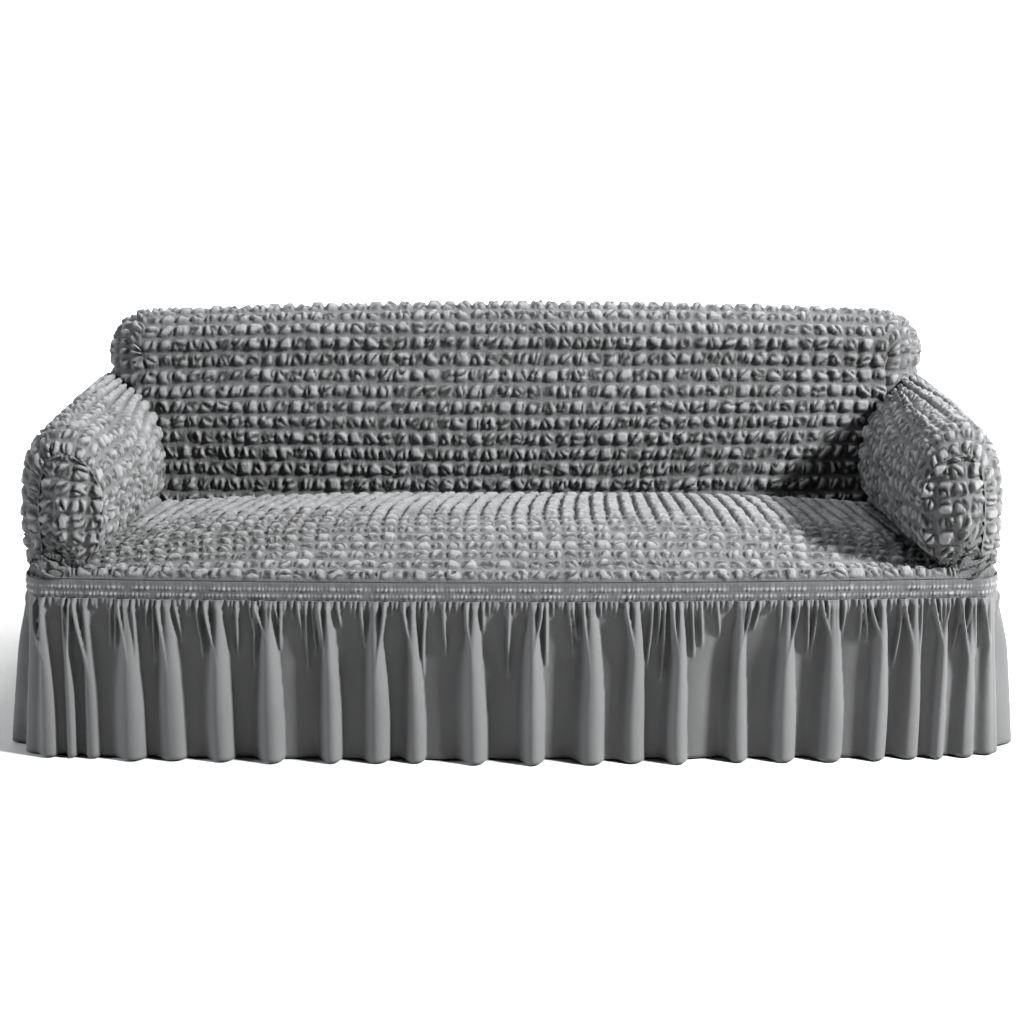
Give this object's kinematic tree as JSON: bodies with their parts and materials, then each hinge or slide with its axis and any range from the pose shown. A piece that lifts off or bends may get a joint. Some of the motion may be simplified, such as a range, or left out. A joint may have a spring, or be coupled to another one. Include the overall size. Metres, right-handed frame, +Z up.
{
  "type": "sofa slipcover",
  "caption": "Fitted three-seat sofa cover in puffed stretch cloth, with a shirred waistband and a gathered skirt to the floor; hollow and open below.",
  "frame": {"origin": "on the floor under the middle of the cover", "axes": "+X to the right of someone facing the front, +Y to the rear, +Z up"},
  "size_m": [2.2274, 0.989, 0.8781],
  "materials": {
    "puffed_cloth": "mid-grey knitted seersucker, dull with a faint sheen",
    "waistband": "mid-grey knit drawn in by rows of elastic thread",
    "skirt_cloth": "mid-grey smooth woven cloth with a soft satin sheen"
  },
  "bodies": {
    "root": {"inside_back": "puffed_cloth", "outside_back": "puffed_cloth", "seat_panel": "puffed_cloth", "arm_left": "puffed_cloth", "arm_right": "puffed_cloth", "arm_front_left": "puffed_cloth", "arm_front_right": "puffed_cloth", "waistband": "waistband", "skirt_front": "skirt_cloth", "skirt_right": "skirt_cloth", "skirt_back": "skirt_cloth", "skirt_left": "skirt_cloth"}
  },
  "joints": []
}
